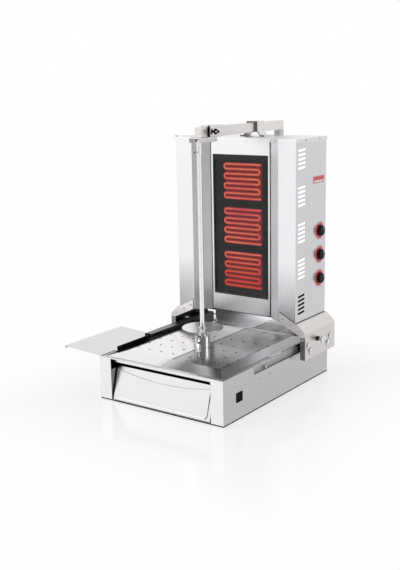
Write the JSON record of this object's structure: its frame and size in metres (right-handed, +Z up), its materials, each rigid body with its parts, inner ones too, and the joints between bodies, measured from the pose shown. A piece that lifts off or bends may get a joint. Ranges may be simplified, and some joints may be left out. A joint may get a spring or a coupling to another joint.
{
  "type": "electric doner kebab grill",
  "caption": "Electric doner kebab grill: a driven upright spit over drip trays and a drawer, before a heater column with a glass front that rolls on rails.",
  "frame": {"origin": "middle of the whole outline's footprint, on the worktop", "axes": "+X to the grill's right, +Y to its back, +Z up; the drawer and the spit face -Y"},
  "size_m": [0.689, 0.728, 0.862],
  "materials": {
    "casing_steel": "brushed",
    "tray_steel": "polished",
    "panel_steel": "brushed",
    "frame_steel": "satin",
    "spit_steel": "bright",
    "zinc": "satin",
    "rubber": "matt",
    "ceramic_glass": "glossy black",
    "element": "glowing",
    "insulation": "matt",
    "motor_grey": "satin",
    "cast": "as cast",
    "black_plastic": "satin",
    "gloss_black": "glossy",
    "dial_red": "glossy",
    "plate_red": "satin",
    "nylon": "satin"
  },
  "bodies": {
    "base": {"base_casing": "casing_steel", "rubber_feet": "rubber", "rear_deck": "casing_steel", "rail_left": "frame_steel", "rail_right": "frame_steel", "stop_pins": "zinc", "drip_pan": "tray_steel", "drawer_guides": "casing_steel", "gearmotor": "motor_grey", "gearbox": "cast", "motor_bracket": "zinc", "bearing_housing": "cast", "switch_bezel": "black_plastic", "cable_gland": "black_plastic", "arm": "frame_steel", "mast": "frame_steel", "mast_foot": "frame_steel", "mast_bolts": "zinc"},
    "heater_column": {"side_panel_left": "panel_steel", "side_panel_right": "panel_steel", "front_panel": "panel_steel", "ceramic_glass": "ceramic_glass", "glass_frame": "zinc", "heater_pans": "insulation", "heating_elements": "element", "column_floor": "panel_steel", "top_cover": "panel_steel", "rear_cover": "panel_steel", "slot_liners": "insulation", "bracket_left": "frame_steel", "bracket_right": "frame_steel", "bracket_bolts": "zinc", "glide_bushes": "nylon", "saddle": "frame_steel", "dial_plates": "dial_red", "regulators": "black_plastic", "side_plate": "plate_red"},
    "tray_left": {"tray_left": "tray_steel"},
    "tray_right": {"tray_right": "tray_steel"},
    "drawer": {"drawer_front": "panel_steel", "drawer_box": "casing_steel"},
    "side_shelf": {"side_shelf": "panel_steel"},
    "spit": {"drive_shaft": "zinc", "drive_socket": "spit_steel", "spit_rod": "spit_steel"},
    "meat_disc": {"meat_disc": "tray_steel"},
    "rocker": {"rocker": "gloss_black"},
    "top_slider": {"top_slider": "frame_steel", "spit_holder": "frame_steel"},
    "thumb_screw": {"thumb_screw": "black_plastic"},
    "roller_left_front": {"roller_left_front": "nylon"},
    "roller_left_rear": {"roller_left_rear": "nylon"},
    "lock_screw_left": {"lock_screw_left": "zinc"},
    "roller_right_front": {"roller_right_front": "nylon"},
    "roller_right_rear": {"roller_right_rear": "nylon"},
    "lock_screw_right": {"lock_screw_right": "zinc"},
    "knob_1": {"knob_1": "gloss_black"},
    "knob_2": {"knob_2": "gloss_black"},
    "knob_3": {"knob_3": "gloss_black"}
  },
  "joints": [
    {"name": "column_slide", "type": "slide", "parent": "base", "child": "heater_column", "axis": [0, -1, 0], "range_m": [0, 0.115]},
    {"name": "tray_left_lift", "type": "slide", "parent": "base", "child": "tray_left", "axis": [0, 0, 1], "range_m": [0, 0.04]},
    {"name": "tray_right_lift", "type": "slide", "parent": "base", "child": "tray_right", "axis": [0, 0, 1], "range_m": [0, 0.04]},
    {"name": "drawer_slide", "type": "slide", "parent": "base", "child": "drawer", "axis": [0, -1, 0], "range_m": [0, 0.17]},
    {"name": "side_shelf_lift", "type": "slide", "parent": "base", "child": "side_shelf", "axis": [0, 0, 1], "range_m": [0, 0.05]},
    {"name": "spit_turn", "type": "hinge", "parent": "base", "child": "spit", "pos_m": [0.0485, -0.129, 0.15], "axis": [0, 0, 1], "continuous": true},
    {"name": "meat_disc_lift", "type": "slide", "parent": "spit", "child": "meat_disc", "axis": [0, 0, 1], "range_m": [0, 0.5]},
    {"name": "rocker_tilt", "type": "hinge", "parent": "base", "child": "rocker", "pos_m": [0.2835, -0.279, 0.071], "axis": [0, 1, 0], "range_deg": [-14, 0]},
    {"name": "top_slider_slide", "type": "slide", "parent": "base", "child": "top_slider", "axis": [0, 1, 0], "range_m": [0, 0.035]},
    {"name": "thumb_screw_turn", "type": "hinge", "parent": "top_slider", "child": "thumb_screw", "pos_m": [0.0785, -0.081, 0.842], "axis": [1, 0, 0], "range_deg": [0, 330]},
    {"name": "roller_left_front_turn", "type": "hinge", "parent": "heater_column", "child": "roller_left_front", "pos_m": [-0.19075, 0.0936, 0.1243], "axis": [1, 0, 0], "range_deg": [0, 830]},
    {"name": "roller_left_rear_turn", "type": "hinge", "parent": "heater_column", "child": "roller_left_rear", "pos_m": [-0.19075, 0.2124, 0.1243], "axis": [1, 0, 0], "range_deg": [0, 830]},
    {"name": "lock_screw_left_turn", "type": "hinge", "parent": "heater_column", "child": "lock_screw_left", "pos_m": [-0.2315, 0.142, 0.15525], "axis": [1, 0, 0], "range_deg": [0, 330]},
    {"name": "roller_right_front_turn", "type": "hinge", "parent": "heater_column", "child": "roller_right_front", "pos_m": [0.28775, 0.0936, 0.1243], "axis": [1, 0, 0], "range_deg": [0, 830]},
    {"name": "roller_right_rear_turn", "type": "hinge", "parent": "heater_column", "child": "roller_right_rear", "pos_m": [0.28775, 0.2124, 0.1243], "axis": [1, 0, 0], "range_deg": [0, 830]},
    {"name": "lock_screw_right_turn", "type": "hinge", "parent": "heater_column", "child": "lock_screw_right", "pos_m": [0.3285, 0.142, 0.15525], "axis": [1, 0, 0], "range_deg": [0, 330]},
    {"name": "knob_1_turn", "type": "hinge", "parent": "heater_column", "child": "knob_1", "pos_m": [0.2935, 0.22, 0.504], "axis": [1, 0, 0], "range_deg": [-270, 0]},
    {"name": "knob_2_turn", "type": "hinge", "parent": "heater_column", "child": "knob_2", "pos_m": [0.2935, 0.22, 0.4235], "axis": [1, 0, 0], "range_deg": [-270, 0]},
    {"name": "knob_3_turn", "type": "hinge", "parent": "heater_column", "child": "knob_3", "pos_m": [0.2935, 0.22, 0.343], "axis": [1, 0, 0], "range_deg": [-270, 0]}
  ],
  "couplings": [
    {"joint": "roller_left_front_turn", "follows": "column_slide", "rad_per_m": 125},
    {"joint": "roller_left_rear_turn", "follows": "column_slide", "rad_per_m": 125},
    {"joint": "roller_right_front_turn", "follows": "column_slide", "rad_per_m": 125},
    {"joint": "roller_right_rear_turn", "follows": "column_slide", "rad_per_m": 125}
  ]
}
